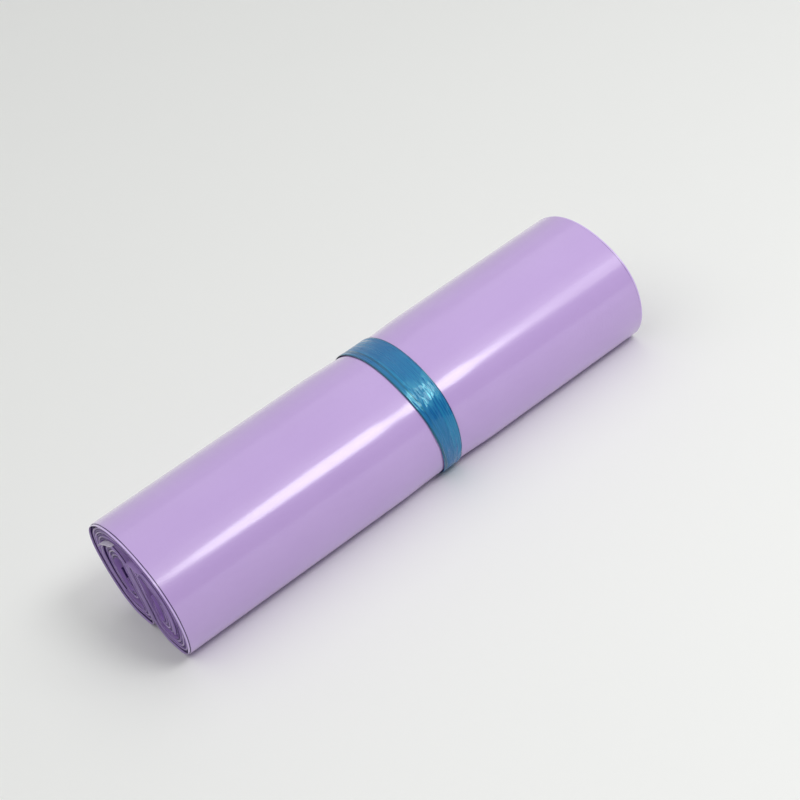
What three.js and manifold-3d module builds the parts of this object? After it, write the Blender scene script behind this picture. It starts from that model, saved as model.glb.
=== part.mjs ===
import * as THREE from "three";
import { mergeVertices } from "three/addons/utils/BufferGeometryUtils.js";
import Module from "manifold-3d";

// A stack of flat film mailer bags, rolled up from both ends into a double scroll and held by one strip of film.
// X runs along the roll, Y across it and Z up. The roll lies on the flat feet of its two scrolls.
// A section of the roll is drawn with u across it and v up, and is the same on both sides of u = 0.

// The roll, in millimetres
const rollLength = 280; // the width of a bag
const rollWidth = 82; // across both scrolls
const rollHeight = 63; // from the feet to the crown
const widestHeight = 31; // where the sides stand furthest out
const stackThickness = 9.4; // the flat stack of bags
const leafCount = 5; // the stack parts into leaves, of bags that cling together
const slitWidth = 0.8; // between the two scrolls
const turnGap = 0.8; // between one turn of a scroll and the next
const footRadius = 8.6; // inside the stack, where a side turns under
const foldRadius = 1.4; // inside the stack, at its tight folds
const coreRadius = 1.8; // inside the stack, where it turns back in the core
const coreRise = 12; // the stack's last straight stretch
const edgeUnevenness = 2.2; // how far in from the roll's end the edge of a leaf may lie

// Where one arc of the section gives way to the next, in degrees of turn
const crownTurn = 38;
const sideTurn = 35;
const coreTurn = 150;
const coreEndTurn = 80;

// The strip of film that ties the roll, and the waist that it presses into it
const bandWidth = 17; // over the crown
const bandFootWidth = 10; // under the feet, where the strip is gathered
const bandThickness = 0.4;
const bandGap = 0.3; // between the strip and the bags
const bandOffset = 15; // from the roll's middle towards its far end
const waistDepth = 0.9;
const waistRun = 9; // from the strip's edge to where the roll is full again

// How finely arcs are cut into facets, and how far solids reach into each other where they are joined
const chordError = 0.14;
const joinOverlap = 0.05;

const radians = THREE.MathUtils.degToRad;

// Radii of two arcs that meet in line and turn a right angle, the first through firstTurn degrees,
// on a run that goes forward by ahead and sideways by aside.
function twoArcs(ahead, aside, firstTurn) {
  const sine = Math.sin(radians(firstTurn));
  const cosine = Math.cos(radians(firstTurn));
  const spread = sine * cosine - (1 - sine) * (1 - cosine);
  const first = (ahead * cosine - aside * (1 - sine)) / spread;
  const second = (aside * sine - ahead * (1 - cosine)) / spread;
  return [first, second];
}

// Radii of the stack's outer face
const halfWidth = rollWidth / 2;
const [crownOuter, shoulderOuter] = twoArcs(halfWidth, rollHeight - widestHeight, crownTurn);
const footOuter = footRadius + stackThickness;
const heelOuter = foldRadius + stackThickness;
const footSine = Math.sin(radians(sideTurn));
const sideOuter = (widestHeight - footOuter * (1 - footSine)) / footSine;

// The foot is flat from where the side has turned under to where the heel starts to turn up.
const sideLean = sideOuter * (1 - Math.cos(radians(sideTurn)));
const footReach = halfWidth - sideLean - footOuter * Math.cos(radians(sideTurn));
const footFlat = footReach - heelOuter - slitWidth / 2;

// The second turn lies inside the first, a gap away. Its peak rises from the slit and runs into the crown's arc.
const turnDepth = stackThickness + turnGap;
const peakCentre = heelOuter + slitWidth / 2;
const innerCrown = crownOuter - turnDepth;
const peakRise = Math.sqrt((innerCrown - heelOuter) ** 2 - peakCentre ** 2);
const peakHeight = rollHeight - crownOuter + peakRise;
const peakLean = THREE.MathUtils.radToDeg(Math.atan2(peakCentre, peakRise));

// Stretches of the stack, each with the radius of its inner face
const bend = (outerRadius, turn) => ({ radius: outerRadius - stackThickness, turn: radians(turn) });
const straight = (length) => ({ length });
const outerTurn = [
  bend(crownOuter, crownTurn),
  bend(shoulderOuter, 90 - crownTurn),
  bend(sideOuter, sideTurn),
  bend(footOuter, 90 - sideTurn),
];
const turns = [
  ...outerTurn,
  straight(footFlat),
  bend(heelOuter, 90),
  straight(peakHeight - heelOuter),
  bend(heelOuter, 90 + peakLean),
  bend(innerCrown, crownTurn - peakLean),
  bend(shoulderOuter - turnDepth, 90 - crownTurn),
  bend(sideOuter - turnDepth, sideTurn),
];
const core = [
  bend(coreRadius + stackThickness, coreTurn),
  straight(coreRise),
  bend(coreRadius + stackThickness, coreEndTurn),
];
const scroll = [...turns, ...core];

// Length of a stretch along the middle of the stack
const lengthOf = ({ radius, turn, length }) => length ?? (radius + stackThickness / 2) * turn;
const lengthOfAll = (stretches) => stretches.reduce((sum, stretch) => sum + lengthOf(stretch), 0);

// Points along the stretches from the middle of the crown, outward from the stack's inner face, up to a length.
function trace(stretches, outward, reach = Infinity) {
  const place = new THREE.Vector2(0, rollHeight - stackThickness);
  const points = [new THREE.Vector2(0, place.y + outward)];
  let heading = 0;
  let left = reach;
  for (const stretch of stretches) {
    const share = Math.min(1, left / lengthOf(stretch));
    if (share <= 0) break;
    left -= lengthOf(stretch);
    const outside = () => new THREE.Vector2(-Math.sin(heading), Math.cos(heading));
    if (stretch.length === undefined) {
      const { radius } = stretch;
      const turn = stretch.turn * share;
      const centre = place.clone().addScaledVector(outside(), -radius);
      const facet = 2 * Math.acos(1 - chordError / (radius + stackThickness));
      const facets = Math.ceil(turn / facet);
      for (let i = 0; i < facets; i++) {
        heading -= turn / facets;
        points.push(centre.clone().addScaledVector(outside(), radius + outward));
      }
      place.copy(centre).addScaledVector(outside(), radius);
    } else {
      const forward = new THREE.Vector2(Math.cos(heading), Math.sin(heading));
      place.addScaledVector(forward, stretch.length * share);
      points.push(place.clone().addScaledVector(outside(), outward));
    }
  }
  return points;
}

const mirrored = (points) => points.map((point) => new THREE.Vector2(-point.x, point.y));

// A line through the whole section, from the left core over the crown to the right core
function bothSides(stretches, outward, reach) {
  const right = trace(stretches, outward, reach);
  return [...mirrored(right.slice(1)).reverse(), ...right];
}

// The roll's outline drawn tight, straight across from foot to foot, inset from the full roll and anticlockwise
const tightOutline = (inset) => bothSides(outerTurn, stackThickness - inset).reverse();

// Stands a section up: its u along Y, its v along Z and its depth along X.
const standUp = new THREE.Matrix4().makeBasis(
  new THREE.Vector3(0, 1, 0),
  new THREE.Vector3(0, 0, 1),
  new THREE.Vector3(1, 0, 0),
);

function extrude(shape, start, depth, bevel = { bevelEnabled: false }) {
  const geometry = new THREE.ExtrudeGeometry(shape, { depth, steps: 1, ...bevel });
  return geometry.translate(0, 0, start).applyMatrix4(standUp);
}

const wasm = await Module();
wasm.setup();

function solidOf(geometry) {
  const bare = new THREE.BufferGeometry().setAttribute("position", geometry.getAttribute("position"));
  const merged = mergeVertices(geometry.index ? bare.setIndex(geometry.index) : bare, 1e-4);
  return new wasm.Manifold(
    new wasm.Mesh({
      numProp: 3,
      vertProperties: merged.attributes.position.array,
      triVerts: new Uint32Array(merged.index.array),
    }),
  );
}

function geometryOf(solid) {
  const mesh = solid.getMesh();
  const geometry = new THREE.BufferGeometry();
  geometry.setAttribute("position", new THREE.BufferAttribute(mesh.vertProperties, 3));
  geometry.setIndex(new THREE.BufferAttribute(mesh.triVerts, 1));
  geometry.computeVertexNormals();
  return geometry;
}

// How far in the edge of a leaf lies at one end. The outermost leaf, number 0, reaches the roll's end.
const edgeInset = (leaf, rhythm) => edgeUnevenness * Math.sin(rhythm * leaf) ** 2;
const nearRhythm = 1.9;
const farRhythm = 2.3;

// One leaf of the stack, a strip that follows the scrolls at its own depth. The outermost leaf has the longest
// way round and ends before the core, and each leaf inside it reaches further in, the innermost one furthest.
function leafSolid(leaf) {
  const leafThickness = stackThickness / leafCount;
  const innermost = leafCount - 1;
  const outer = stackThickness - leaf * leafThickness;
  const inner = outer - leafThickness - (leaf < innermost ? joinOverlap : 0);
  const reach = lengthOfAll(turns) + lengthOfAll(core) * (leaf / innermost) ** 2;
  const outerLine = bothSides(scroll, outer, reach);
  const innerLine = bothSides(scroll, inner, reach);
  const shape = new THREE.Shape([...outerLine, ...innerLine.reverse()]);
  const near = -rollLength / 2 + edgeInset(leaf, nearRhythm);
  const far = rollLength / 2 - edgeInset(leaf, farRhythm);
  return solidOf(extrude(shape, near, far - near));
}

// What the strip presses away: a ring round the roll whose inside swells into it, gently at both edges
function waistCutter() {
  const clear = 2 * waistDepth;
  const ring = new THREE.Shape([
    new THREE.Vector2(-halfWidth - clear, -clear),
    new THREE.Vector2(halfWidth + clear, -clear),
    new THREE.Vector2(halfWidth + clear, rollHeight + clear),
    new THREE.Vector2(-halfWidth - clear, rollHeight + clear),
  ]);
  ring.holes.push(new THREE.Path(tightOutline(0)));
  const bevel = {
    bevelThickness: waistRun,
    bevelSize: waistDepth + joinOverlap,
    bevelOffset: -joinOverlap,
    bevelSegments: 3,
  };
  return solidOf(extrude(ring, bandOffset - bandWidth / 2, bandWidth, bevel));
}

function bagRoll() {
  let roll = leafSolid(0);
  for (let leaf = 1; leaf < leafCount; leaf++) roll = roll.add(leafSolid(leaf));
  const film = new THREE.MeshStandardMaterial({ color: 0xc4a9df, roughness: 0.28, metalness: 0 });
  const mesh = new THREE.Mesh(geometryOf(roll.subtract(waistCutter())), film);
  mesh.name = "bag_roll";
  return mesh;
}

// The strip is widest over the crown and is drawn in towards the feet.
function tieBand() {
  const ring = new THREE.Shape(tightOutline(waistDepth - bandGap - bandThickness));
  ring.holes.push(new THREE.Path(tightOutline(waistDepth - bandGap)));
  const geometry = extrude(ring, -0.5, 1);
  const corners = geometry.getAttribute("position");
  for (let i = 0; i < corners.count; i++) {
    const share = THREE.MathUtils.smoothstep(corners.getZ(i), 0, rollHeight);
    const width = THREE.MathUtils.lerp(bandFootWidth, bandWidth, share);
    corners.setX(i, bandOffset + corners.getX(i) * width);
  }
  const film = new THREE.MeshStandardMaterial({ color: 0x2d7db3, roughness: 0.3, metalness: 0 });
  const mesh = new THREE.Mesh(geometryOf(solidOf(geometry)), film);
  mesh.name = "tie_band";
  return mesh;
}

const rollOfBags = new THREE.Group();
rollOfBags.add(bagRoll(), tieBand());

export default rollOfBags;
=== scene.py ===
import math

import bpy
from mathutils import Matrix, Vector


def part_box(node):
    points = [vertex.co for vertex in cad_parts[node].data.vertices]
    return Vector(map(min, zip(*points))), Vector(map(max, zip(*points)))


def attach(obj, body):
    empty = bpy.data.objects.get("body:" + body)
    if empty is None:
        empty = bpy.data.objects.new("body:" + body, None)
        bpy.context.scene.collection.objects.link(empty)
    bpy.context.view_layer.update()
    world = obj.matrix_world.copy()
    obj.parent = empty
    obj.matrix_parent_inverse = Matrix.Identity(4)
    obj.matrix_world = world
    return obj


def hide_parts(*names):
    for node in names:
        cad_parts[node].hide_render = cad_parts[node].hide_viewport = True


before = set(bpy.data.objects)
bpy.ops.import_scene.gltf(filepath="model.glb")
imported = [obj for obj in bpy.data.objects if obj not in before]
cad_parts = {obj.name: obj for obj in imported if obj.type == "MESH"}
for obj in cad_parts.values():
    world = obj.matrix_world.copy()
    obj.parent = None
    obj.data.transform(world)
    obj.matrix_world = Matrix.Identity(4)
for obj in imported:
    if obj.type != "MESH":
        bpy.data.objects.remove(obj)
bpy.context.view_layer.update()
rollLow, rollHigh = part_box("bag_roll")
bandLow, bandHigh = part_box("tie_band")
print("frame loaded, roll size", [round(x, 4) for x in rollHigh - rollLow])


# Helpers for node trees

def srgb(red, green, blue):  # a colour as seen, 0 to 255, as the linear colour that sockets take
    def linear(share):
        return share / 12.92 if share <= 0.04045 else ((share + 0.055) / 1.055) ** 2.4
    return (linear(red / 255), linear(green / 255), linear(blue / 255), 1.0)


def newTree(name, kind, inputs, outputs):
    tree = bpy.data.node_groups.new(name, kind)
    for label, socket, default in inputs:
        made = tree.interface.new_socket(label, in_out="INPUT", socket_type="NodeSocket" + socket)
        if default is not None:
            made.default_value = default
    for label, socket in outputs:
        tree.interface.new_socket(label, in_out="OUTPUT", socket_type="NodeSocket" + socket)
    return tree, tree.nodes.new("NodeGroupInput").outputs, tree.nodes.new("NodeGroupOutput").inputs


def addNode(tree, kind, inputs=None, **settings):
    made = tree.nodes.new(kind)
    for key, value in settings.items():
        setattr(made, key, value)
    for key, value in (inputs or {}).items():
        if isinstance(value, bpy.types.NodeSocket):
            tree.links.new(value, made.inputs[key])
        else:
            made.inputs[key].default_value = value
    return made


def maths(tree, operation, first, second=0.0, third=0.0):
    return addNode(tree, "ShaderNodeMath", {0: first, 1: second, 2: third}, operation=operation).outputs[0]


def combine(tree, x, y, z):
    return addNode(tree, "ShaderNodeCombineXYZ", {0: x, 1: y, 2: z}).outputs[0]


def eased(tree, value, fromMin, fromMax, toMin=0.0, toMax=1.0):  # smooth step between two values
    inputs = {"Value": value, 1: fromMin, 2: fromMax, 3: toMin, 4: toMax}
    return addNode(tree, "ShaderNodeMapRange", inputs, interpolation_type="SMOOTHSTEP").outputs[0]


def noise(tree, vector, scale, detail=2.0, roughness=0.5):  # from -1 to 1, mostly near 0
    inputs = {"Vector": vector, "Scale": scale, "Detail": detail, "Roughness": roughness}
    made = addNode(tree, "ShaderNodeTexNoise", inputs)
    return maths(tree, "MULTIPLY_ADD", made.outputs[0], 2.0, -1.0)


def mixColour(tree, share, first, second):
    return addNode(tree, "ShaderNodeMix", {0: share, 6: first, 7: second}, data_type="RGBA").outputs[2]


def whiteNoise(tree, value):  # from 0 to 1, a new draw for each value
    return addNode(tree, "ShaderNodeTexWhiteNoise", {"W": value}, noise_dimensions="1D").outputs["Value"]


def namedAttribute(tree, name, kind="FLOAT"):
    return addNode(tree, "GeometryNodeInputNamedAttribute", {"Name": name}, data_type=kind).outputs[0]


def meshValue(tree, name):  # a value that the mesh carries for its material
    return addNode(tree, "ShaderNodeAttribute", attribute_name=name).outputs["Fac"]


def objectPlace(tree):
    return tree.nodes.new("ShaderNodeTexCoord").outputs["Object"]


def scaled(tree, vector, scale):
    return addNode(tree, "ShaderNodeVectorMath", {0: vector, "Scale": scale}, operation="SCALE").outputs[0]


def added(tree, first, second):
    return addNode(tree, "ShaderNodeVectorMath", {0: first, 1: second}, operation="ADD").outputs[0]


# Materials

filmPattern = {  # scales per metre, and what each pattern gives to the colour and the height
    "mottleScale": 22.0,
    "lineScale": 260.0,
    "hazeScale": 900.0,
    "waveScale": 60.0,
    "shadeShare": 0.35,  # of the shade where the patterns are even
    "mottleShade": 0.45,
    "lineShade": 0.12,
    "lineHeight": 0.35,
    "hazeHeight": 0.25,
    "leastRoughness": 0.05,
}


def stretchedFilm():  # blown film: slow mottling, draw lines along X and fine haze
    tree, given, made = newTree(
        "stretchedFilm",
        "ShaderNodeTree",
        [
            ("Colour", "Color", (0.8, 0.8, 0.8, 1.0)),
            ("Shade", "Color", (0.6, 0.6, 0.6, 1.0)),
            ("Gloss", "Float", 0.2),
            ("Haze", "Float", 0.1),
            ("Draw Stretch", "Float", 0.1),
        ],
        [("Colour", "Color"), ("Roughness", "Float"), ("Height", "Float")],
    )
    place = objectPlace(tree)
    stretch = combine(tree, given["Draw Stretch"], 1.0, 1.0)
    drawn = addNode(tree, "ShaderNodeMapping", {"Vector": place, "Scale": stretch}).outputs[0]
    mottle = noise(tree, place, filmPattern["mottleScale"], 3.0)
    lines = noise(tree, drawn, filmPattern["lineScale"], 3.0, 0.6)
    haze = noise(tree, place, filmPattern["hazeScale"])
    waves = noise(tree, drawn, filmPattern["waveScale"])
    share = maths(tree, "MULTIPLY_ADD", lines, filmPattern["lineShade"], filmPattern["shadeShare"])
    share = maths(tree, "MULTIPLY_ADD", mottle, filmPattern["mottleShade"], share)
    share = maths(tree, "MAXIMUM", share, 0.0)
    rough = maths(tree, "MULTIPLY_ADD", maths(tree, "ADD", mottle, haze), given["Haze"], given["Gloss"])
    rough = maths(tree, "MAXIMUM", rough, filmPattern["leastRoughness"])
    height = maths(tree, "MULTIPLY", haze, filmPattern["hazeHeight"])
    height = maths(tree, "MULTIPLY_ADD", lines, filmPattern["lineHeight"], height)
    height = maths(tree, "ADD", waves, height)
    tree.links.new(mixColour(tree, share, given["Colour"], given["Shade"]), made["Colour"])
    tree.links.new(rough, made["Roughness"])
    tree.links.new(height, made["Height"])
    return tree


filmGroup = stretchedFilm()


def newMaterial(name):
    material = bpy.data.materials.new(name)
    material.use_nodes = True
    tree = material.node_tree
    return material, tree, tree.nodes["Principled BSDF"]


def filmFinish(tree, shader, finish):  # the shared film group, its bump and the plain values of the shader
    values = {key: finish[key] for key in ("Colour", "Shade", "Gloss", "Haze", "Draw Stretch")}
    film = addNode(tree, "ShaderNodeGroup", values, node_tree=filmGroup).outputs
    bump = addNode(
        tree,
        "ShaderNodeBump",
        {"Strength": finish["bump"], "Distance": finish["bumpDepth"], "Height": film["Height"]},
    )
    tree.links.new(film["Colour"], shader.inputs["Base Color"])
    tree.links.new(film["Roughness"], shader.inputs["Roughness"])
    tree.links.new(bump.outputs[0], shader.inputs["Normal"])
    shader.inputs["IOR"].default_value = finish["ior"]
    shader.inputs["Coat Weight"].default_value = finish["coat"]
    shader.inputs["Coat Roughness"].default_value = finish["coatRoughness"]
    return film, bump


paintedGapShade = srgb(64, 38, 102)  # painted shade that stands in for the shadow far in between two leaves

bagFinish = {
    "Colour": srgb(197, 168, 226),
    "Shade": srgb(188, 157, 218),
    "Gloss": 0.3,
    "Haze": 0.03,
    "Draw Stretch": 0.12,
    "bump": 0.16,
    "bumpDepth": 0.0006,
    "ior": 1.42,
    "coat": 1.0,
    "coatRoughness": 0.15,
    "coveredFrom": 0.02,  # share of the stack past which a bag lies under the first one
    "rim": srgb(208, 182, 238),  # of a covered bag's lip, painted paler as a painted highlight, which turns to painted shadow under the edge of the first
    "paintedShadowFrom": 0.0006,
    "paintedShadowTo": 0.0010,
}


def bagFilm():
    material, tree, shader = newMaterial("bagFilm")
    film, _ = filmFinish(tree, shader, bagFinish)
    covered = maths(tree, "GREATER_THAN", meshValue(tree, "inner"), bagFinish["coveredFrom"])
    # painted shadow: a covered bag turns deep purple a little way in, under the edge of the first bag, and
    # nearer its end its lip is painted paler as a painted highlight
    deep = eased(tree, meshValue(tree, "fromEnd"), bagFinish["paintedShadowFrom"], bagFinish["paintedShadowTo"])
    lipWithPaintedShadow = mixColour(tree, deep, bagFinish["rim"], paintedGapShade)
    tree.links.new(mixColour(tree, covered, film["Colour"], lipWithPaintedShadow), shader.inputs["Base Color"])
    return material


leafFinish = {
    "Colour": srgb(196, 160, 232),
    "Shade": srgb(178, 140, 218),
    "Gloss": 0.36,
    "Haze": 0.05,
    "Draw Stretch": 0.12,
    "bump": 0.1,
    "bumpDepth": 0.0004,
    "ior": 1.2,
    "coat": 0.0,
    "coatRoughness": 0.2,
    "cutEdge": srgb(240, 222, 254),  # cut edges of bags, from the palest to the dullest, partly a random tone and partly painted light and shade between the edges
    "dullEdge": srgb(88, 58, 134),
    "edgePower": 1.5,  # of the tone, the more the fewer pale edges
    "deepLeast": 0.0003,  # how far in a face is deep in shade, and how much further on the palest leaf
    "deepMore": 0.0014,
    "deepPower": 3.0,
    "openFrom": 0.93,  # share of the stack from which a face lies open to the core
    "openReach": 0.016,
    "dull": 0.85,  # how much of the deep shade shows in the grooves between two turns
    "outerGroove": (0.17, 0.3),  # shares of the stack between which the shade of a groove fades
    "innerGroove": (0.84, 0.92),
    "innerShare": 0.7,  # of that shade, in the groove on the inside of a turn
}


def leafFilm():
    material, tree, shader = newMaterial("leafFilm")
    film, _ = filmFinish(tree, shader, leafFinish)
    tone, inner = meshValue(tree, "tone"), meshValue(tree, "inner")

    # painted shade: a leaf's face turns deep purple a little way in from its end, further on paler leaves
    # and far on faces open to the core
    opened = maths(tree, "GREATER_THAN", inner, leafFinish["openFrom"])
    reach = maths(tree, "POWER", tone, leafFinish["deepPower"])
    reach = maths(tree, "MULTIPLY_ADD", reach, leafFinish["deepMore"], leafFinish["deepLeast"])
    reach = maths(tree, "MULTIPLY_ADD", opened, leafFinish["openReach"], reach)
    face = mixColour(tree, eased(tree, meshValue(tree, "fromEnd"), 0.0, reach), film["Colour"], paintedGapShade)

    # the cut edge's tone, partly painted light and shade between the edges
    pale = maths(tree, "POWER", tone, leafFinish["edgePower"])
    rim = mixColour(tree, pale, leafFinish["dullEdge"], leafFinish["cutEdge"])
    shown = mixColour(tree, meshValue(tree, "cutEdge"), face, rim)

    outerGroove = eased(tree, inner, *leafFinish["outerGroove"], 1.0, 0.0)
    innerGroove = eased(tree, inner, *leafFinish["innerGroove"], 0.0, leafFinish["innerShare"])
    groove = maths(tree, "MAXIMUM", outerGroove, innerGroove)
    groove = maths(tree, "MULTIPLY", groove, maths(tree, "SUBTRACT", 1.0, opened))
    groove = maths(tree, "MULTIPLY", groove, leafFinish["dull"])
    tree.links.new(mixColour(tree, groove, shown, paintedGapShade), shader.inputs["Base Color"])
    return material


linerFinish = {
    "Colour": srgb(250, 247, 252),
    "Shade": srgb(236, 228, 243),
    "Gloss": 0.28,
    "Haze": 0.06,
    "Draw Stretch": 0.3,
    "bump": 0.5,
    "bumpDepth": 0.0012,
    "ior": 1.5,
    "coat": 0.3,
    "coatRoughness": 0.12,
}


def linerFilm():
    material, tree, shader = newMaterial("linerFilm")
    filmFinish(tree, shader, linerFinish)
    return material


bandFinish = {
    "Colour": srgb(4, 96, 164),
    "Shade": srgb(3, 76, 150),
    "Gloss": 0.36,
    "Haze": 0.05,
    "Draw Stretch": 1.0,
    "bump": 1.0,
    "bumpDepth": 0.0003,
    "ior": 1.9,
    "coat": 0.4,
    "coatRoughness": 0.06,
    "sheen": (0.22, 1.0, 0.95, 1.0),  # the film's own reflection is tinted
    "streak": srgb(6, 118, 174),
    # painted shade in the creases, along the fold of the left edge and along the right edge
    "crease": srgb(8, 44, 90),
    "threads": (46.0, 70.0),  # patterns: how many across the strip, and how many per metre round it
    "ripples": (8.0, 95.0),
    "crinkles": (11.0, 190.0),
    "strokes": (22.0, 70.0),
    "pleats": (10.0, 16.0),
    "creaseShade": (17.0, 9.0),
    "pleatStreak": (0.0, 0.5),  # from where to where a pattern's colour sets in
    "threadStreak": (0.1, 0.6),
    "creaseLine": (0.03, 0.16),
    "gathered": (0.45, 0.86),  # where across the strip its creases set in
    "foldAt": 0.865,  # where across the strip its left edge is folded
    "foldLine": (0.012, 0.045),
    "edgeLine": (0.01, 0.04),
    "hemShare": 0.85,
    "threadHeight": 0.04,
    "pleatHeight": 0.5,
    "rippleHeight": 1.2,
    "crinkleHeight": 0.6,
    "calmPlace": (-0.02, 0.01),  # towards the rear the strip is smoother
    "calm": 0.25,
    "slackHeight": (0.0498, 0.0575),  # over the front shoulder the strip is pulled flat
    "slackPlace": (-0.022, 0.012),
    "slack": 3.7,
    "glossFrom": (-0.15, 0.2),  # the strokes go from dull to glossy
    "glossRange": (0.46, 0.2),
}


def bandFilm():
    material, tree, shader = newMaterial("bandFilm")
    film, bump = filmFinish(tree, shader, bandFinish)
    across = meshValue(tree, "across")
    place = addNode(tree, "ShaderNodeSeparateXYZ", {0: objectPlace(tree)}).outputs

    def drawn(name, detail=2.0, roughness=0.5):  # a pattern in streaks that run round the roll
        count, rate = bandFinish[name]
        scales = ((across, count), (place[1], rate), (place[2], rate))
        spots = [maths(tree, "MULTIPLY", value, scale) for value, scale in scales]
        return noise(tree, combine(tree, *spots), 1.0, detail, roughness)

    threads = drawn("threads", 4.0, 0.65)
    pleats = drawn("pleats")
    streaks = eased(tree, pleats, *bandFinish["pleatStreak"])
    colour = mixColour(tree, streaks, film["Colour"], bandFinish["streak"])
    streaks = eased(tree, threads, *bandFinish["threadStreak"])
    colour = mixColour(tree, streaks, colour, bandFinish["streak"])
    # painted shade: dark lines in the gathered creases, at the fold and along the right edge
    creaseShade = eased(tree, drawn("creaseShade"), *bandFinish["creaseLine"])
    creaseShade = maths(tree, "MULTIPLY", eased(tree, across, *bandFinish["gathered"]), creaseShade)
    fromFold = maths(tree, "ABSOLUTE", maths(tree, "SUBTRACT", across, bandFinish["foldAt"]))
    hem = eased(tree, fromFold, *bandFinish["foldLine"], 1.0, 0.0)
    hem = maths(tree, "MAXIMUM", hem, eased(tree, across, *bandFinish["edgeLine"], 1.0, 0.0))
    creaseShade = maths(tree, "MAXIMUM", creaseShade, maths(tree, "MULTIPLY", hem, bandFinish["hemShare"]))
    tree.links.new(mixColour(tree, creaseShade, colour, bandFinish["crease"]), shader.inputs["Base Color"])

    crinkles = maths(tree, "MULTIPLY", drawn("ripples", 1.0), bandFinish["rippleHeight"])
    crinkles = maths(tree, "MULTIPLY_ADD", drawn("crinkles", 1.0), bandFinish["crinkleHeight"], crinkles)
    calm = eased(tree, place[1], *bandFinish["calmPlace"], 1.0, bandFinish["calm"])
    slack = eased(tree, place[1], *bandFinish["slackPlace"], 1.0, 0.0)
    slack = maths(tree, "MULTIPLY", eased(tree, place[2], *bandFinish["slackHeight"]), slack)
    height = maths(tree, "MULTIPLY", threads, bandFinish["threadHeight"])
    height = maths(tree, "MULTIPLY_ADD", pleats, bandFinish["pleatHeight"], height)
    height = maths(tree, "MULTIPLY_ADD", crinkles, calm, height)
    height = maths(tree, "MULTIPLY_ADD", slack, bandFinish["slack"], height)
    gloss = eased(tree, drawn("strokes"), *bandFinish["glossFrom"], *bandFinish["glossRange"])
    tree.links.new(height, bump.inputs["Height"])
    tree.links.new(gloss, shader.inputs["Roughness"])
    tree.links.new(bump.outputs[0], shader.inputs["Coat Normal"])
    shader.inputs["Specular Tint"].default_value = bandFinish["sheen"]
    return material


bagFilmMaterial = bagFilm()
leafFilmMaterial = leafFilm()
linerFilmMaterial = linerFilm()
bandFilmMaterial = bandFilm()
print("materials made")


# The section of the roll: u across and v up, the right half from the crown's middle

section = {  # metres and degrees of turn
    "widest": 0.031,  # height at which the sides stand furthest out
    "stack": 0.0094,  # thickness of the flat stack of bags
    "slit": 0.0008,  # between the two scrolls
    "turnGap": 0.0008,  # between one turn and the next
    "foot": 0.0086,  # inner radius where a side turns under
    "fold": 0.0014,  # inner radius of the tight folds
    "core": 0.0018,  # inner radius of the turns in the core
    "coreRise": 0.012,
    "crownTurn": 38,
    "sideTurn": 35,
    "coreTurn": 150,
    "coreEndTurn": 80,
    "turnStep": 6.0,  # degrees and metres between the points of a traced line
    "lengthStep": 0.0026,
}


def sineCosine(degrees):
    return math.sin(math.radians(degrees)), math.cos(math.radians(degrees))


def twoArcs(ahead, aside, firstTurn):  # radii of two arcs in line that turn a right angle
    sine, cosine = sineCosine(firstTurn)
    spread = sine * cosine - (1 - sine) * (1 - cosine)
    first = (ahead * cosine - aside * (1 - sine)) / spread
    second = (aside * sine - ahead * (1 - cosine)) / spread
    return first, second


def scrollStretches(size, width, height):  # arcs as (inner radius, degrees), straights as (None, length)
    half, stack = width / 2, size["stack"]
    crown, shoulder = twoArcs(half, height - size["widest"], size["crownTurn"])
    foot, heel = size["foot"] + stack, size["fold"] + stack
    sideSine, sideCosine = sineCosine(size["sideTurn"])
    side = (size["widest"] - foot * (1 - sideSine)) / sideSine
    footFlat = half - side * (1 - sideCosine) - foot * sideCosine - heel - size["slit"] / 2
    depth = stack + size["turnGap"]
    peakCentre = heel + size["slit"] / 2
    peakRise = math.sqrt((crown - depth - heel) ** 2 - peakCentre**2)
    peakLean = math.degrees(math.atan2(peakCentre, peakRise))
    outer = [
        (crown - stack, size["crownTurn"]),
        (shoulder - stack, 90 - size["crownTurn"]),
        (side - stack, size["sideTurn"]),
        (foot - stack, 90 - size["sideTurn"]),
    ]
    inner = [
        (None, footFlat),
        (heel - stack, 90),
        (None, height - crown + peakRise - heel),
        (heel - stack, 90 + peakLean),
        (crown - depth - stack, size["crownTurn"] - peakLean),
        (shoulder - depth - stack, 90 - size["crownTurn"]),
        (side - depth - stack, size["sideTurn"]),
    ]
    core = [
        (size["core"], size["coreTurn"]),
        (None, size["coreRise"]),
        (size["core"], size["coreEndTurn"]),
    ]
    return outer, inner, core


def stretchLength(stretch):  # along the middle of the stack
    radius, run = stretch
    return run if radius is None else (radius + section["stack"] / 2) * math.radians(run)


def tracedHalf(stretches, height):  # points (u, v, outward u, outward v, length so far) on the inner face
    u, v, heading, along = 0.0, height - section["stack"], 0.0, 0.0
    points = [(u, v, 0.0, 1.0, 0.0)]
    for radius, run in stretches:
        length = stretchLength((radius, run))
        if radius is None:
            steps = math.ceil(run / section["lengthStep"])
        else:
            outerRun = (radius + section["stack"]) * math.radians(run)
            steps = math.ceil(max(run / section["turnStep"], outerRun / section["lengthStep"]))
            centre = (u + radius * math.sin(heading), v - radius * math.cos(heading))
        for _ in range(steps):
            along += length / steps
            if radius is None:
                u += math.cos(heading) * run / steps
                v += math.sin(heading) * run / steps
            else:
                heading -= math.radians(run) / steps
                u = centre[0] - radius * math.sin(heading)
                v = centre[1] + radius * math.cos(heading)
            points.append((u, v, -math.sin(heading), math.cos(heading), along))
    return points


def bothHalves(points):
    left = [(-u, v, -outU, outV, -along) for u, v, outU, outV, along in reversed(points[1:])]
    return left + points


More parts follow.
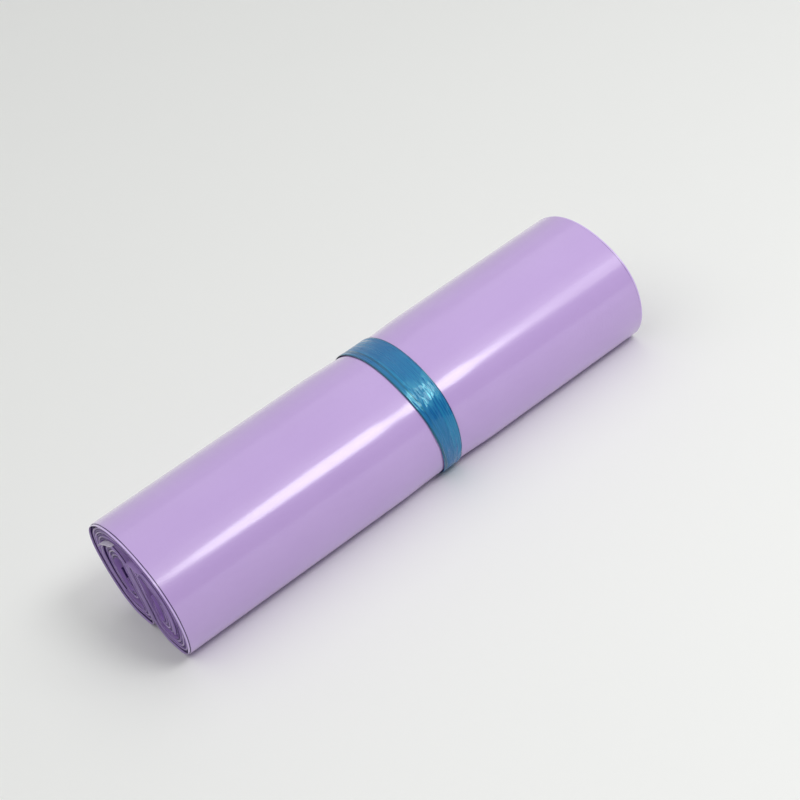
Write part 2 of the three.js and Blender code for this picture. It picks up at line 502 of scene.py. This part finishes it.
def pathMesh(name, points):  # a line of edges at x = 0 that carries its outward direction and length
    mesh = bpy.data.meshes.new(name)
    edges = [(i, i + 1) for i in range(len(points) - 1)]
    mesh.from_pydata([(0.0, u, v) for u, v, _, _, _ in points], edges, [])
    mesh.attributes.new("outside", "FLOAT_VECTOR", "POINT")
    mesh.attributes.new("along", "FLOAT", "POINT")
    outside, along = mesh.attributes["outside"].data, mesh.attributes["along"].data
    for i, (_, _, outU, outV, length) in enumerate(points):
        outside[i].vector = (0.0, outU, outV)
        along[i].value = length
    return mesh


rollSize = rollHigh - rollLow
outerTurn, innerTurn, coreTurn = scrollStretches(section, rollSize.y, rollSize.z)
outerLength = sum(map(stretchLength, outerTurn))
turnsLength = outerLength + sum(map(stretchLength, innerTurn))
coreLength = sum(map(stretchLength, coreTurn))
scrollPoints = bothHalves(tracedHalf(outerTurn + innerTurn + coreTurn, rollSize.z))
print("section traced,", len(scrollPoints), "points")


# Geometry nodes: sheets of film that follow a traced line

def sheetGrid(tree, path, stations, leaves):  # a grid for each leaf, with its column, row and leaf number
    index = tree.nodes.new("GeometryNodeInputIndex").outputs[0]
    count = addNode(tree, "GeometryNodeAttributeDomainSize", {0: path}).outputs["Point Count"]
    grid = addNode(tree, "GeometryNodeMeshGrid", {"Vertices X": count, "Vertices Y": stations})
    column = maths(tree, "FLOOR", maths(tree, "DIVIDE", maths(tree, "ADD", index, 0.5), stations))
    row = maths(tree, "SUBTRACT", index, maths(tree, "MULTIPLY", column, stations))
    keep = tree.nodes.new("GeometryNodeCaptureAttribute")
    keep.capture_items.new("FLOAT", "column")
    keep.capture_items.new("FLOAT", "row")
    for socket, value in (("Geometry", grid.outputs[0]), ("column", column), ("row", row)):
        tree.links.new(value, keep.inputs[socket])
    line = addNode(tree, "GeometryNodeMeshLine", {"Count": leaves, "Offset": (0.0, 0.0, 0.0)})
    inputs = {"Points": line.outputs[0], "Instance": keep.outputs["Geometry"]}
    copies = addNode(tree, "GeometryNodeInstanceOnPoints", inputs)
    number = tree.nodes.new("GeometryNodeCaptureAttribute")
    number.domain = "INSTANCE"
    number.capture_items.new("FLOAT", "leaf")
    tree.links.new(copies.outputs[0], number.inputs["Geometry"])
    tree.links.new(index, number.inputs["leaf"])
    real = addNode(tree, "GeometryNodeRealizeInstances", {0: number.outputs["Geometry"]})
    return real.outputs[0], keep.outputs["column"], keep.outputs["row"], number.outputs["leaf"]


def onPath(tree, path, column, value, kind):  # what the path holds at a column
    inputs = {"Geometry": path, "Value": value, "Index": column}
    return addNode(tree, "GeometryNodeSampleIndex", inputs, data_type=kind).outputs[0]


def spotOnPath(tree, path, column):  # the path's own place at a column, and which way is outward there
    here = tree.nodes.new("GeometryNodeInputPosition").outputs[0]
    outside = namedAttribute(tree, "outside", "FLOAT_VECTOR")
    return [onPath(tree, path, column, value, "FLOAT_VECTOR") for value in (here, outside)]


def placedSheet(tree, sheet, spot, outside, outward, x):  # lifted off the path and moved along the roll
    moved = added(tree, spot, scaled(tree, outside, outward))
    moved = added(tree, moved, combine(tree, x, 0.0, 0.0))
    return addNode(tree, "GeometryNodeSetPosition", {"Geometry": sheet, "Position": moved}).outputs[0]


def merged(tree, mesh):
    inputs = {"Geometry": mesh, "Distance": 1e-6}
    return addNode(tree, "GeometryNodeMergeByDistance", inputs).outputs[0]


def stored(tree, mesh, name, value, domain="POINT"):  # a value kept on the mesh for its material
    inputs = {"Geometry": mesh, "Name": name, "Value": value}
    made = addNode(tree, "GeometryNodeStoreNamedAttribute", inputs, data_type="FLOAT", domain=domain)
    return made.outputs[0]


def thickened(tree, sheet, thickness, material):  # a closed leaf from a sheet that is its inner face
    inputs = {"Mesh": sheet, "Offset Scale": thickness, "Individual": False}
    extruded = addNode(tree, "GeometryNodeExtrudeMesh", inputs)
    marked = stored(tree, extruded.outputs["Mesh"], "cutEdge", extruded.outputs["Side"], "FACE")
    back = addNode(tree, "GeometryNodeFlipFaces", {"Mesh": sheet})
    both = tree.nodes.new("GeometryNodeJoinGeometry")
    tree.links.new(back.outputs[0], both.inputs[0])
    tree.links.new(marked, both.inputs[0])
    smooth = addNode(tree, "GeometryNodeSetShadeSmooth", {"Geometry": merged(tree, both.outputs[0])})
    real = addNode(tree, "GeometryNodeRealizeInstances", {0: smooth.outputs[0]})
    inputs = {"Geometry": real.outputs[0], "Material": material}
    return addNode(tree, "GeometryNodeSetMaterial", inputs).outputs[0]


sheetPattern = {  # rates per metre, and what keeps one random draw apart from another
    "endDraw": 17.3,
    "leafDraw": 3.7,
    "toneDraw": 5.3,
    "looseDraw": 5.0,
    "rippleRate": 40.0,
    "looseRate": 70.0,
    "looseDepthRate": 420.0,
    "loosePower": 4.0,  # the more, the nearer to the ends
    "cornerPower": 3.0,
    "creaseRate": 110.0,
    "swellRate": 38.0,
    "alongRoll": 0.35,  # of these two rates, in the direction of the roll
    "puckerReach": 2.2,  # from the band, in lengths of the waist
    "clumpTone": 0.6,  # every other clump of leaves is paler, as painted light and shade between clumps
    "leafTone": 0.35,
    "rippleTone": 0.5,
}


def stationsAlong(tree, given, row):  # places along the roll, gathered towards the band or the ends
    half = maths(tree, "MULTIPLY", given["Length"], 0.5)
    share = maths(tree, "DIVIDE", row, maths(tree, "SUBTRACT", given["Stations"], 1.0))
    share = maths(tree, "MULTIPLY_ADD", share, 2.0, -1.0)
    side = maths(tree, "SIGN", share)
    short = maths(tree, "SUBTRACT", 1.0, maths(tree, "ABSOLUTE", share))
    short = maths(tree, "POWER", short, given["End Gather"])
    share = maths(tree, "MULTIPLY", side, maths(tree, "SUBTRACT", 1.0, short))
    square = maths(tree, "MULTIPLY", share, share)
    cube = maths(tree, "MULTIPLY", square, share)
    spread = maths(tree, "MULTIPLY", cube, maths(tree, "SUBTRACT", 1.0, given["Gather"]))
    spread = maths(tree, "MULTIPLY_ADD", share, given["Gather"], spread)
    lean = maths(tree, "MULTIPLY", given["Band Place"], maths(tree, "SUBTRACT", 1.0, square))
    station = maths(tree, "MULTIPLY_ADD", half, spread, lean)
    fromEnd = maths(tree, "SUBTRACT", half, maths(tree, "ABSOLUTE", station))
    return side, maths(tree, "ABSOLUTE", spread), station, fromEnd


def edgeInset(tree, given, leaf, clump, along, side):  # how far in a leaf's edge lies, and its ripple
    endSeed = maths(tree, "MULTIPLY_ADD", side, sheetPattern["endDraw"], given["Seed"])
    clumpDraw = maths(tree, "ADD", endSeed, clump)
    leafDraw = maths(tree, "MULTIPLY_ADD", leaf, sheetPattern["leafDraw"], endSeed)
    rippleAlong = maths(tree, "MULTIPLY", along, sheetPattern["rippleRate"])
    ripple = noise(tree, combine(tree, rippleAlong, clumpDraw, 0.0), 1.0)
    inset = maths(tree, "MULTIPLY", given["First Inset"], maths(tree, "LESS_THAN", leaf, 0.5))
    inset = maths(tree, "MULTIPLY_ADD", given["Unevenness"], whiteNoise(tree, clumpDraw), inset)
    inset = maths(tree, "MULTIPLY_ADD", given["Leaf Unevenness"], whiteNoise(tree, leafDraw), inset)
    inset = maths(tree, "MULTIPLY_ADD", given["Edge Wave"], maths(tree, "ABSOLUTE", ripple), inset)
    inset = maths(tree, "ADD", given["Set Back"], inset)
    drift = maths(tree, "MULTIPLY", given["Drift"], side)
    drift = maths(tree, "MULTIPLY", drift, maths(tree, "DIVIDE", along, given["To"]))
    inset = maths(tree, "SUBTRACT", inset, drift)
    middle = maths(tree, "MULTIPLY", maths(tree, "ADD", given["From"], given["To"]), 0.5)
    fromMiddle = maths(tree, "ABSOLUTE", maths(tree, "SUBTRACT", along, middle))
    corner = maths(tree, "DIVIDE", fromMiddle, maths(tree, "SUBTRACT", given["To"], middle))
    corner = maths(tree, "POWER", corner, sheetPattern["cornerPower"])
    return maths(tree, "MULTIPLY_ADD", given["Corner"], corner, inset), ripple


def looseDepth(tree, given, depth, along, side, endShare):  # depth in the stack, looser towards the ends
    field = combine(
        tree,
        maths(tree, "MULTIPLY", along, sheetPattern["looseRate"]),
        maths(tree, "MULTIPLY", depth, sheetPattern["looseDepthRate"]),
        maths(tree, "MULTIPLY_ADD", side, sheetPattern["looseDraw"], given["Seed"]),
    )
    loose = maths(tree, "POWER", endShare, sheetPattern["loosePower"])
    loose = maths(tree, "MULTIPLY", noise(tree, field, 1.0), loose)
    return maths(tree, "MULTIPLY_ADD", loose, given["Looseness"], depth)


def bandWaist(tree, given, along, x):  # the waist under the band, and puckers and a slow swell beside it
    fromBand = maths(tree, "ABSOLUTE", maths(tree, "SUBTRACT", x, given["Band Place"]))
    waistEnd = maths(tree, "ADD", given["Waist Half"], given["Waist Run"])
    waist = eased(tree, fromBand, given["Waist Half"], waistEnd, 1.0, 0.0)
    reachEnd = maths(tree, "ADD", given["Waist Reach"], given["Waist Fade"])
    reach = eased(tree, maths(tree, "ABSOLUTE", along), given["Waist Reach"], reachEnd, 1.0, 0.0)
    waist = maths(tree, "MULTIPLY", waist, maths(tree, "MULTIPLY", reach, given["Waist Depth"]))
    here = combine(tree, maths(tree, "MULTIPLY", x, sheetPattern["alongRoll"]), along, given["Seed"])
    puckerEnd = maths(tree, "MULTIPLY", waistEnd, sheetPattern["puckerReach"])
    near = eased(tree, fromBand, given["Waist Half"], puckerEnd, 1.0, 0.0)
    crease = maths(tree, "MULTIPLY", noise(tree, here, sheetPattern["creaseRate"], 1.0), near)
    crease = maths(tree, "MULTIPLY", crease, given["Pucker"])
    swell = maths(tree, "MULTIPLY", noise(tree, here, sheetPattern["swellRate"], 1.0), given["Swell"])
    return waist, maths(tree, "MULTIPLY", maths(tree, "ADD", crease, swell), reach)


def leafTone(tree, given, leaf, clump, ripple):  # how pale a leaf's cut edge is, from 0 to 1: partly a random tone, partly painted light and shade by clump
    tone = whiteNoise(tree, maths(tree, "MULTIPLY_ADD", leaf, sheetPattern["toneDraw"], given["Seed"]))
    tone = maths(tree, "MULTIPLY", tone, sheetPattern["leafTone"])
    everyOther = maths(tree, "MODULO", clump, 2.0)
    tone = maths(tree, "MULTIPLY_ADD", everyOther, sheetPattern["clumpTone"], tone)
    tone = maths(tree, "MULTIPLY_ADD", ripple, sheetPattern["rippleTone"], tone)
    return maths(tree, "MINIMUM", maths(tree, "MAXIMUM", tone, 0.0), 1.0)


def rolledSheets():
    tree, given, made = newTree(
        "rolledSheets",
        "GeometryNodeTree",
        [
            ("Path", "Geometry", None),
            ("Leaves", "Int", 1),
            ("Stations", "Int", 6),
            ("Length", "Float", 0.28),
            ("Stack", "Float", 0.0094),
            ("First Depth", "Float", 0.0),
            ("Depth Step", "Float", 0.0004),
            ("Clump", "Float", 1.0),
            ("Clump Gap", "Float", 0.0),
            ("Thickness", "Float", 0.0003),
            ("From", "Float", -0.1),
            ("To", "Float", 0.1),
            ("Core Reach", "Float", 0.0),
            ("Gather", "Float", 1.0),
            ("End Gather", "Float", 1.0),
            ("First Inset", "Float", 0.0),
            ("Unevenness", "Float", 0.0),
            ("Leaf Unevenness", "Float", 0.0),
            ("Set Back", "Float", 0.0),
            ("Drift", "Float", 0.0),
            ("Corner", "Float", 0.0),
            ("Edge Wave", "Float", 0.0),
            ("Looseness", "Float", 0.0),
            ("Band Place", "Float", 0.0),
            ("Waist Depth", "Float", 0.0),
            ("Waist Half", "Float", 0.0085),
            ("Waist Run", "Float", 0.009),
            ("Waist Reach", "Float", 0.1),
            ("Waist Fade", "Float", 0.006),
            ("Pucker", "Float", 0.0),
            ("Swell", "Float", 0.0),
            ("Seed", "Float", 0.0),
            ("Material", "Material", None),
        ],
        [("Geometry", "Geometry")],
    )
    path = given["Path"]
    sheet, column, row, leaf = sheetGrid(tree, path, given["Stations"], given["Leaves"])
    spot, outside = spotOnPath(tree, path, column)
    along = onPath(tree, path, column, namedAttribute(tree, "along"), "FLOAT")
    side, endShare, station, fromEnd = stationsAlong(tree, given, row)

    clump = maths(tree, "FLOOR", maths(tree, "DIVIDE", maths(tree, "ADD", leaf, 0.5), given["Clump"]))
    depth = maths(tree, "MULTIPLY_ADD", leaf, given["Depth Step"], given["First Depth"])
    depth = maths(tree, "MULTIPLY_ADD", clump, given["Clump Gap"], depth)
    inner = maths(tree, "DIVIDE", depth, given["Stack"])

    inset, ripple = edgeInset(tree, given, leaf, clump, along, side)
    inset = maths(tree, "MULTIPLY", inset, maths(tree, "MULTIPLY", side, endShare))
    x = maths(tree, "SUBTRACT", station, inset)
    depthNow = looseDepth(tree, given, depth, along, side, endShare)
    waist, unevenness = bandWaist(tree, given, along, x)
    outward = maths(tree, "SUBTRACT", given["Stack"], maths(tree, "ADD", depthNow, given["Thickness"]))
    outward = maths(tree, "SUBTRACT", outward, waist)
    outward = maths(tree, "ADD", outward, unevenness)
    placed = placedSheet(tree, sheet, spot, outside, outward, x)

    # each leaf ends where its reach does, the inner ones deeper in the core
    deeper = maths(tree, "MULTIPLY", given["Core Reach"], maths(tree, "MULTIPLY", inner, inner))
    beyond = maths(tree, "GREATER_THAN", along, maths(tree, "ADD", given["To"], deeper))
    before = maths(tree, "LESS_THAN", along, maths(tree, "SUBTRACT", given["From"], deeper))
    inputs = {"Geometry": placed, "Selection": maths(tree, "ADD", beyond, before)}
    leaves = addNode(tree, "GeometryNodeDeleteGeometry", inputs).outputs[0]
    tone = leafTone(tree, given, leaf, clump, ripple)
    for name, value in (("fromEnd", fromEnd), ("tone", tone), ("inner", inner)):
        leaves = stored(tree, leaves, name, value)
    tree.links.new(thickened(tree, leaves, given["Thickness"], given["Material"]), made[0])
    return tree


rolledSheetsTree = rolledSheets()
sharpFrom = 50  # degrees between faces, past which an edge stays sharp


def plainPiece(name, mesh, tree, values):  # runs a tree on a mesh and keeps the result as a plain mesh
    piece = bpy.data.objects.new(name, mesh)
    bpy.context.scene.collection.objects.link(piece)
    modifier = piece.modifiers.new(name, "NODES")
    modifier.node_group = tree
    for item in tree.interface.items_tree:
        if item.in_out == "INPUT" and item.name in values:
            modifier[item.identifier] = values[item.name]
    piece.update_tag()
    graph = bpy.context.evaluated_depsgraph_get()
    ready = piece.evaluated_get(graph)
    made = bpy.data.meshes.new_from_object(ready, preserve_all_data_layers=True, depsgraph=graph)
    piece.modifiers.clear()
    piece.data = made
    made.name = name
    made.set_sharp_from_angle(angle=math.radians(sharpFrom))
    made.calc_loop_triangles()
    print(name, "made,", len(made.loop_triangles), "triangles")
    return piece


# The bags: two outer ones as fine sheets, the rest as leaves that show at the ends

bags = {
    "Length": rollSize.x,
    "Stack": section["stack"],
    "From": -turnsLength,
    "To": turnsLength,
    "Core Reach": coreLength,
}
outerBags = {
    "Leaves": 2,
    "Stations": 72,
    "First Depth": 0.0,
    "Depth Step": 0.00045,
    "Thickness": 0.0003,
    "Gather": 0.36,
    "First Inset": 0.0012,
    "Edge Wave": 0.0002,
    "Band Place": (bandLow.x + bandHigh.x) / 2,
    "Waist Depth": 0.0006,
    "Waist Half": (bandHigh.x - bandLow.x) / 2,
    "Waist Run": 0.022,
    "Waist Reach": outerLength + 0.004,
    "Pucker": 0.00012,
    "Swell": 0.0001,
    "Seed": 3.0,
    "Material": bagFilmMaterial,
}
innerBags = {
    "Leaves": 28,
    "Stations": 6,
    "First Depth": 0.0013,
    "Depth Step": 0.0002,
    "Clump": 4.0,
    "Clump Gap": 0.00035,
    "Thickness": 0.00016,
    "End Gather": 2.6,
    "Set Back": 0.0004,
    "Unevenness": 0.0004,
    "Leaf Unevenness": 0.0003,
    "Drift": 0.0003,
    "Edge Wave": 0.0006,
    "Looseness": 0.0004,
    "Seed": 11.0,
    "Material": leafFilmMaterial,
}


def rolledPiece(name, values):
    piece = plainPiece(name, pathMesh(name, scrollPoints), rolledSheetsTree, {**bags, **values})
    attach(piece, "root")
    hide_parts("bag_roll")


rolledPiece("outerBags", outerBags)
rolledPiece("innerBags", innerBags)

linerStrip = {  # a whitish strip between two turns of the rear scroll
    "Leaves": 1,
    "Stations": 24,
    "First Depth": 0.0097,
    "Thickness": 0.00012,
    "From": 0.006,
    "To": 0.036,
    "Core Reach": 0.0,
    "End Gather": 1.6,
    "First Inset": -0.002,
    "Edge Wave": 0.0004,
    "Corner": 0.0012,
    "Looseness": 0.0002,
    "Seed": 21.0,
    "Material": linerFilmMaterial,
}
rolledPiece("linerStrip", linerStrip)

peakStart = outerLength + sum(map(stretchLength, innerTurn[:3]))
peakFlap = {  # a loose edge that stands out at the top of the front scroll
    "Leaves": 1,
    "Stations": 24,
    "First Depth": -0.0002,
    "Thickness": 0.00015,
    "From": -peakStart - 0.016,  # where it begins and ends, past the start of the turn at the peak
    "To": -peakStart - 0.004,
    "Core Reach": 0.0,
    "End Gather": 1.6,
    "First Inset": -0.0016,
    "Edge Wave": 0.0006,
    "Corner": 0.002,
    "Seed": 27.0,
    "Material": bagFilmMaterial,
}
rolledPiece("peakFlap", peakFlap)


# The tie: a strip of film round the roll, folded over at its left edge

tie = {
    "inset": 0.00045,  # of its inner face from the full roll
    "underSteps": 5,  # points from a foot to the middle of the roll
    "Stations": 44,
    "Height": rollSize.z,
    "Left Crown": 0.0067,  # its left edge over the crown and under the feet
    "Left Foot": 0.0110,
    "Right Crown": 0.0229,
    "Right Foot": 0.0213,
    "Fold": 0.0026,  # how much of the left edge is turned back
    "Fold Run": 0.0006,
    "Fold Lift": 0.00022,
    "Pleat": 0.00022,
    "Wander": 0.0004,  # of its edges along the roll
    "Thickness": 0.00008,
    "Seed": 5.0,
    "Material": bandFilmMaterial,
}
tiePattern = {  # counts across the strip, rates per metre and shares of the pleats' depth
    "pleatCount": 16.0,
    "pleatRate": 7.0,
    "wanderRate": 30.0,
    "crownDepth": 0.8,
    "footDepth": 0.5,  # more than over the crown
}


def wrappedStrip():
    tree, given, made = newTree(
        "wrappedStrip",
        "GeometryNodeTree",
        [
            ("Path", "Geometry", None),
            ("Stations", "Int", 30),
            ("Height", "Float", 0.06),
            ("Left Crown", "Float", 0.0),
            ("Left Foot", "Float", 0.0),
            ("Right Crown", "Float", 0.0),
            ("Right Foot", "Float", 0.0),
            ("Fold", "Float", 0.002),
            ("Fold Run", "Float", 0.0006),
            ("Fold Lift", "Float", 0.0002),
            ("Pleat", "Float", 0.0002),
            ("Wander", "Float", 0.0),
            ("Thickness", "Float", 0.0001),
            ("Seed", "Float", 0.0),
            ("Material", "Material", None),
        ],
        [("Geometry", "Geometry")],
    )
    path = given["Path"]
    sheet, column, row, _ = sheetGrid(tree, path, given["Stations"], 1)
    spot, outside = spotOnPath(tree, path, column)
    z = addNode(tree, "ShaderNodeSeparateXYZ", {0: spot}).outputs[2]
    high = eased(tree, z, 0.0, given["Height"])

    def edge(crown, foot):
        span = maths(tree, "SUBTRACT", given[crown], given[foot])
        return maths(tree, "MULTIPLY_ADD", high, span, given[foot])

    left, right = edge("Left Crown", "Left Foot"), edge("Right Crown", "Right Foot")
    width = maths(tree, "SUBTRACT", right, left)
    share = maths(tree, "DIVIDE", row, maths(tree, "SUBTRACT", given["Stations"], 1.0))

    # the section of the strip: right edge to left edge, then back over itself
    full = maths(tree, "ADD", width, given["Fold"])
    run = maths(tree, "MULTIPLY", share, full)
    across = maths(tree, "DIVIDE", run, full)
    past = maths(tree, "MAXIMUM", maths(tree, "SUBTRACT", run, width), 0.0)
    x = maths(tree, "MULTIPLY_ADD", past, 2.0, maths(tree, "SUBTRACT", right, run))
    wander = noise(tree, scaled(tree, spot, tiePattern["wanderRate"]), 1.0)
    x = maths(tree, "MULTIPLY_ADD", wander, given["Wander"], x)

    # pleats round the roll, deeper under the feet, and the step of the fold
    shift = combine(tree, maths(tree, "MULTIPLY", across, tiePattern["pleatCount"]), given["Seed"], 0.0)
    where = added(tree, scaled(tree, spot, tiePattern["pleatRate"]), shift)
    pleat = maths(tree, "MULTIPLY_ADD", noise(tree, where, 1.0, 3.0), 0.5, 0.5)
    low = maths(tree, "SUBTRACT", 1.0, high)
    deep = maths(tree, "MULTIPLY_ADD", low, tiePattern["footDepth"], tiePattern["crownDepth"])
    lift = maths(tree, "MULTIPLY", maths(tree, "MULTIPLY", pleat, deep), given["Pleat"])
    over = eased(tree, past, 0.0, given["Fold Run"])
    lift = maths(tree, "MULTIPLY_ADD", over, given["Fold Lift"], lift)

    marked = stored(tree, sheet, "across", across)
    joined = merged(tree, placedSheet(tree, marked, spot, outside, lift, x))
    tree.links.new(thickened(tree, joined, given["Thickness"], given["Material"]), made[0])
    return tree


def tieStrip():
    outward = section["stack"] - tie["inset"]
    points = []
    for u, v, outU, outV, along in tracedHalf(outerTurn, rollSize.z):
        points.append((u + outU * outward, v + outV * outward, outU, outV, along))
    footU, footV = points[-1][0], points[-1][1]
    steps = tie["underSteps"]
    under = [(footU * left / steps, footV, 0.0, -1.0, 0.0) for left in reversed(range(steps))]
    points = bothHalves(points + under)
    piece = plainPiece("tieStrip", pathMesh("tieStrip", points), wrappedStrip(), tie)
    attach(piece, "root")
    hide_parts("tie_band")


tieStrip()


# The studio

studio = {
    "floor": srgb(243, 244, 242),
    "floorShade": (0.6, 0.6, 0.6, 1.0),
    "floorGrain": 3.0,  # patches per metre
    "floorShare": 0.98,  # of its own colour, and how much the grain changes that
    "grainShare": 0.02,
    "floorRoughness": 0.7,
    "floorSpecular": 0.2,
    "floorHalf": 4.0,
    "wallAt": 2.4,  # where the floor has swept up into a wall
    "sweep": 0.8,
    "sweepStep": 5,  # degrees
    "wallTop": 2.4,
    "skyColour": (1.0, 1.0, 1.0, 1.0),
    "sky": 0.28,
}
lamps = {
    "nearBox": {
        "shape": "ELLIPSE",
        "centre": (0.385, -0.865, 1.09),
        "aim": (0.2, 0.0, 0.03),
        "size": (0.5, 0.56),
        "tilt": 0.25,  # rise of its long side per metre along X
        "power": 6.15,
    },
    "farBox": {
        "shape": "ELLIPSE",
        "centre": (0.86, -0.83, 1.14),
        "aim": (0.45, 0.0, 0.03),
        "size": (0.5, 0.6),
        "tilt": 0.0,
        "power": 1.5,
    },
    "glow": {
        "shape": "RECTANGLE",
        "centre": (0.45, -0.52, 1.36),
        "aim": (0.2, 0.0, 0.03),
        "size": (1.0, 0.36),
        "tilt": 0.0,
        "power": 0.5,
    },
    "topLight": {
        "shape": "RECTANGLE",
        "centre": (0.0, 0.35, 2.3),
        "aim": (0.0, 0.35, 0.0),
        "size": (5.0, 3.9),
        "tilt": 0.0,
        "power": 40.0,
    },
}


def floorMaterial():  # clear from below
    material, tree, shader = newMaterial("paleFloor")
    grain = noise(tree, objectPlace(tree), studio["floorGrain"])
    share = maths(tree, "MULTIPLY_ADD", grain, studio["grainShare"], studio["floorShare"])
    colour = mixColour(tree, share, studio["floorShade"], studio["floor"])
    tree.links.new(colour, shader.inputs["Base Color"])
    shader.inputs["Roughness"].default_value = studio["floorRoughness"]
    shader.inputs["Specular IOR Level"].default_value = studio["floorSpecular"]
    below = tree.nodes.new("ShaderNodeNewGeometry").outputs["Backfacing"]
    clear = tree.nodes.new("ShaderNodeBsdfTransparent").outputs[0]
    seen = addNode(tree, "ShaderNodeMixShader", {0: below, 1: shader.outputs[0], 2: clear})
    tree.links.new(seen.outputs[0], tree.nodes["Material Output"].inputs["Surface"])
    return material


def makeFloor():
    half, wall, sweep = studio["floorHalf"], studio["wallAt"], studio["sweep"]
    profile = [(-half, 0.0)]
    for degrees in range(0, 90 + 1, studio["sweepStep"]):
        sine, cosine = sineCosine(degrees)
        profile.append((wall - sweep + sweep * sine, sweep - sweep * cosine))
    profile.append((wall, studio["wallTop"]))
    mesh = bpy.data.meshes.new("floor")
    mesh.from_pydata(
        [(x, y, z) for y, z in profile for x in (-half, half)],
        [],
        [(2 * i, 2 * i + 1, 2 * i + 3, 2 * i + 2) for i in range(len(profile) - 1)],
    )
    mesh.shade_smooth()
    mesh.materials.append(floorMaterial())
    floor = bpy.data.objects.new("floor", mesh)
    bpy.context.scene.collection.objects.link(floor)


def makeSky():
    world = bpy.data.worlds.new("studio")
    bpy.context.scene.world = world
    world.use_nodes = True
    background = world.node_tree.nodes["Background"]
    background.inputs["Color"].default_value = studio["skyColour"]
    background.inputs["Strength"].default_value = studio["sky"]


def areaLamp(name, values):
    lamp = bpy.data.lights.new(name, "AREA")
    lamp.shape = values["shape"]
    lamp.size, lamp.size_y = values["size"]
    lamp.energy = values["power"]
    centre = Vector(values["centre"])
    ahead = (Vector(values["aim"]) - centre).normalized()
    across = Vector((1, 0, values["tilt"]))
    across = (across - ahead * across.dot(ahead)).normalized()
    placed = bpy.data.objects.new(name, lamp)
    placed.matrix_world = Matrix((across, ahead.cross(across), -ahead)).transposed().to_4x4()
    placed.location = centre
    bpy.context.scene.collection.objects.link(placed)


shot = {  # where the photograph was taken from
    "azimuth": -24.55,
    "elevation": 34.46,
    "roll": -20.4,
    "place": (-0.3022, -0.6992, 0.5593),
    "lens": 86.4,
    "sensor": 36.0,
    "clip": (0.01, 50.0),
}


def makeCamera():
    data = bpy.data.cameras.new("camera")
    data.lens, data.sensor_width = shot["lens"], shot["sensor"]
    data.clip_start, data.clip_end = shot["clip"]
    camera = bpy.data.objects.new("camera", data)
    aroundSine, aroundCosine = sineCosine(shot["azimuth"])
    downSine, downCosine = sineCosine(shot["elevation"])
    rollSine, rollCosine = sineCosine(shot["roll"])
    ahead = Vector((-aroundSine * downCosine, aroundCosine * downCosine, -downSine))
    level = ahead.cross(Vector((0, 0, 1))).normalized()
    upright = level.cross(ahead)
    right = level * rollCosine + upright * rollSine
    up = upright * rollCosine - level * rollSine
    facing = Matrix((right, up, -ahead)).transposed().to_4x4()
    camera.matrix_world = Matrix.Translation(shot["place"]) @ facing
    bpy.context.scene.collection.objects.link(camera)
    bpy.context.scene.camera = camera


makeFloor()
makeSky()
for name, values in lamps.items():
    areaLamp(name, values)
makeCamera()
bpy.context.scene.view_settings.view_transform = "Standard"
print("studio made")
